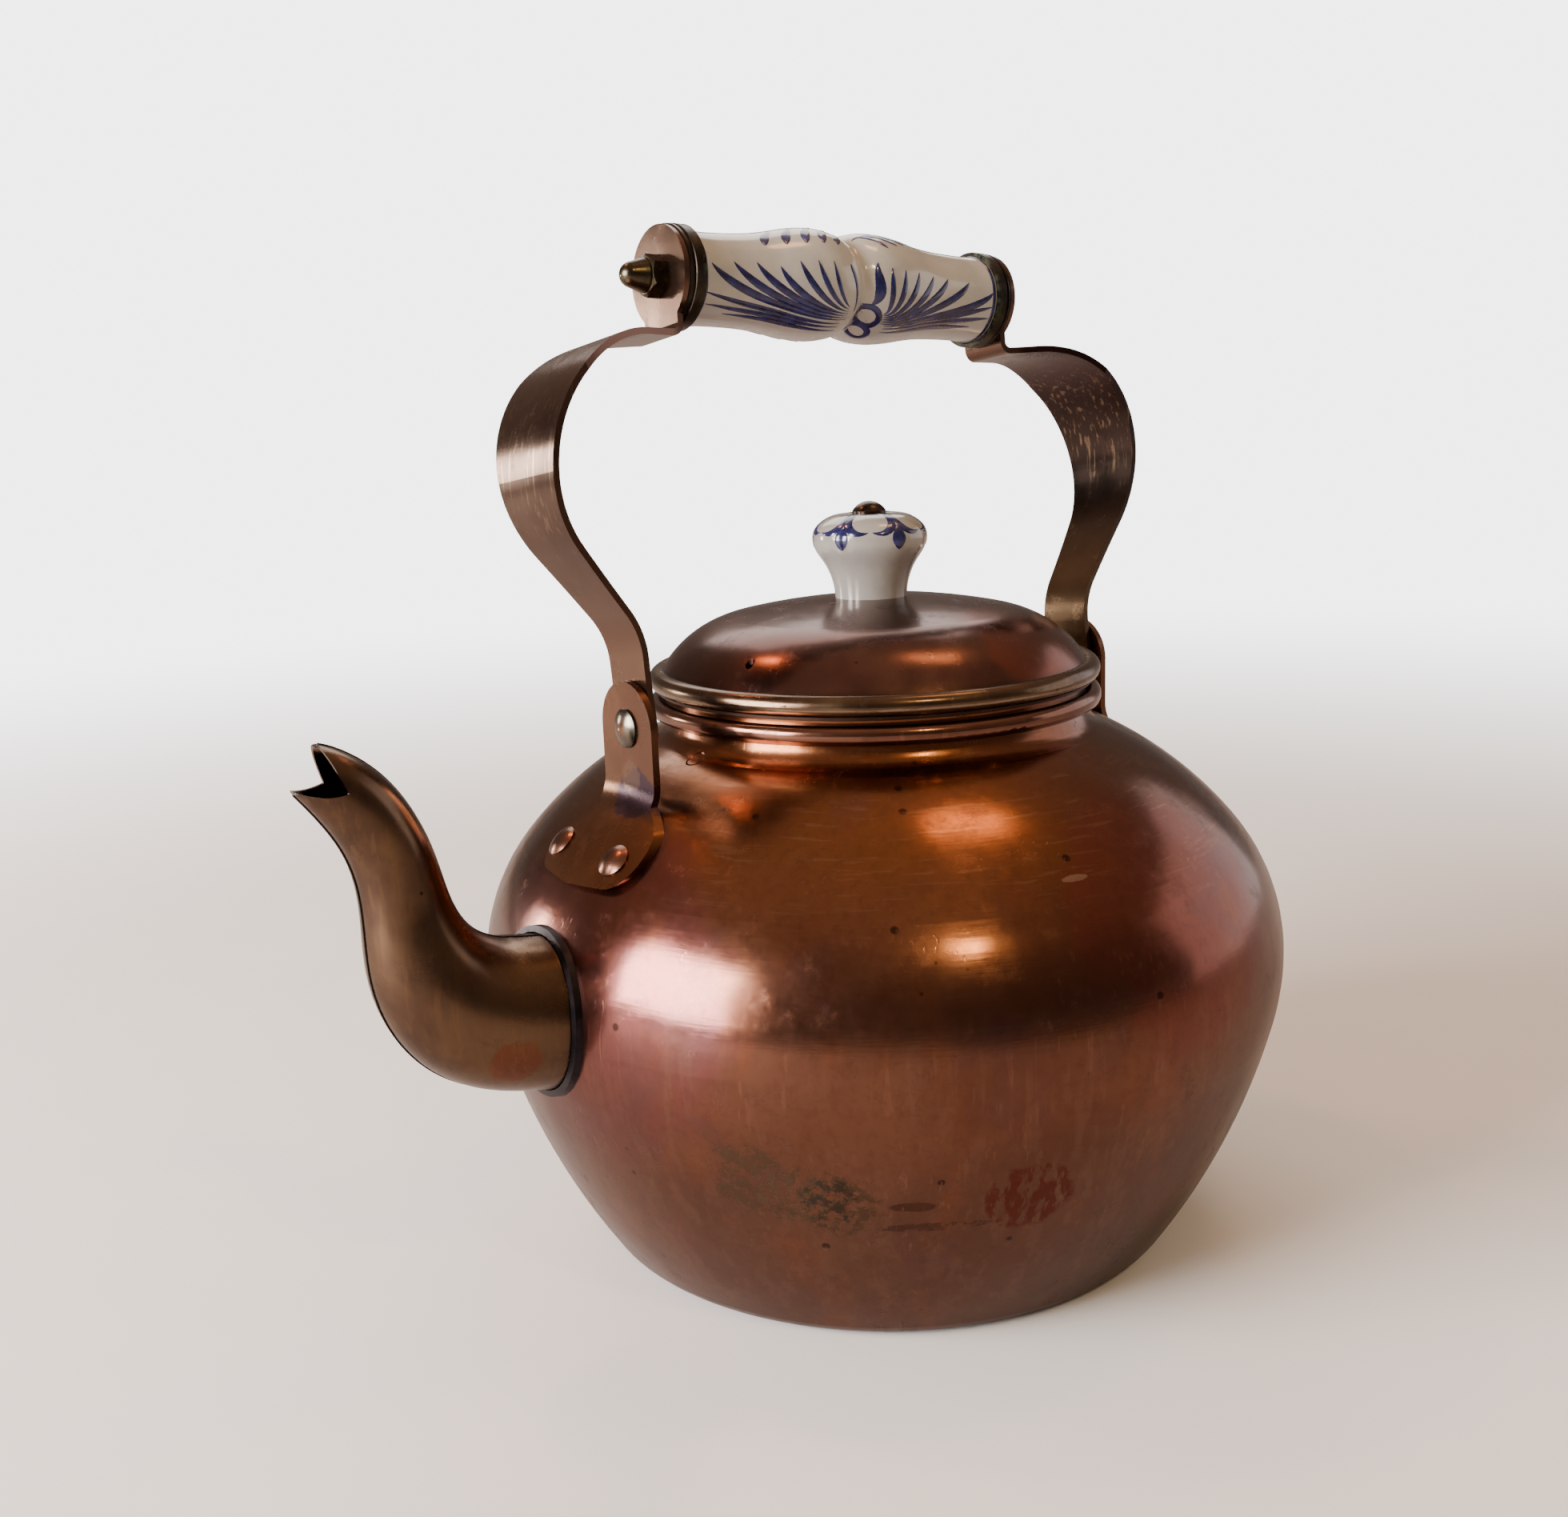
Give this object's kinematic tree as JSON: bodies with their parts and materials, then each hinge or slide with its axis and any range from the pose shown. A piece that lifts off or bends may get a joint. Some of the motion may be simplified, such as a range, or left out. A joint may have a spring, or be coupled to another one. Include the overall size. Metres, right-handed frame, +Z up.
{
  "type": "kettle",
  "caption": "Spun copper kettle with a beaked spout, a lift-off lid with a porcelain knob, and a swinging strap handle with a porcelain grip.",
  "frame": {"origin": "centre of the flat base, on the surface it stands on", "axes": "+Z up; the spout points to -X; the handle's pivots lie on the line through both ears, along X"},
  "size_m": [0.2619, 0.21, 0.2592],
  "materials": {
    "copper_body": "satin",
    "copper_ring": "polished",
    "bronze_spout": "satin",
    "solder": "dull dark solder",
    "copper_ear": "satin",
    "copper_rivet": "polished",
    "brass_fixing": "plain",
    "brass_pivot": "worn",
    "copper_strap": "satin",
    "bronze_ferrule": "tarnished",
    "porcelain": "glossy white with blue brush strokes",
    "steel_rod": "plain",
    "bronze_nut": "tarnished",
    "copper_lid": "satin",
    "brass_bead": "worn polished"
  },
  "bodies": {
    "kettle": {"body_shell": "copper_body", "neck_ring": "copper_ring", "spout_left_half": "bronze_spout", "spout_right_half": "bronze_spout", "spout_seam_solder": "bronze_spout", "spout_root_solder": "solder", "front_ear": "copper_ear", "rear_ear": "copper_ear", "front_ear_rivets": "copper_rivet", "rear_ear_rivets": "copper_rivet", "front_ear_burrs": "brass_fixing", "rear_ear_burrs": "brass_fixing", "front_pivot_rivet": "brass_pivot", "rear_pivot_rivet": "brass_pivot", "front_pivot_washer": "brass_fixing", "rear_pivot_washer": "brass_fixing"},
    "handle": {"front_arm": "copper_strap", "rear_arm": "copper_strap", "front_ferrule": "bronze_ferrule", "rear_ferrule": "bronze_ferrule", "porcelain_grip": "porcelain", "grip_rod": "steel_rod", "front_cap_nut": "bronze_nut", "rear_cap_nut": "bronze_nut"},
    "lid": {"lid_dome": "copper_lid", "lid_rim_bead": "brass_bead", "lid_collar": "copper_lid", "porcelain_knob": "porcelain", "knob_screw": "bronze_nut", "knob_washer": "brass_fixing", "knob_nut": "brass_fixing"}
  },
  "joints": [
    {"name": "handle_swing", "type": "hinge", "parent": "kettle", "child": "handle", "pos_m": [0, 0, 0.1423], "axis": [1, 0, 0], "range_deg": [-86, 100]},
    {"name": "lid_lift", "type": "slide", "parent": "kettle", "child": "lid", "axis": [0, 0, 1], "range_m": [0, 0.034]}
  ]
}
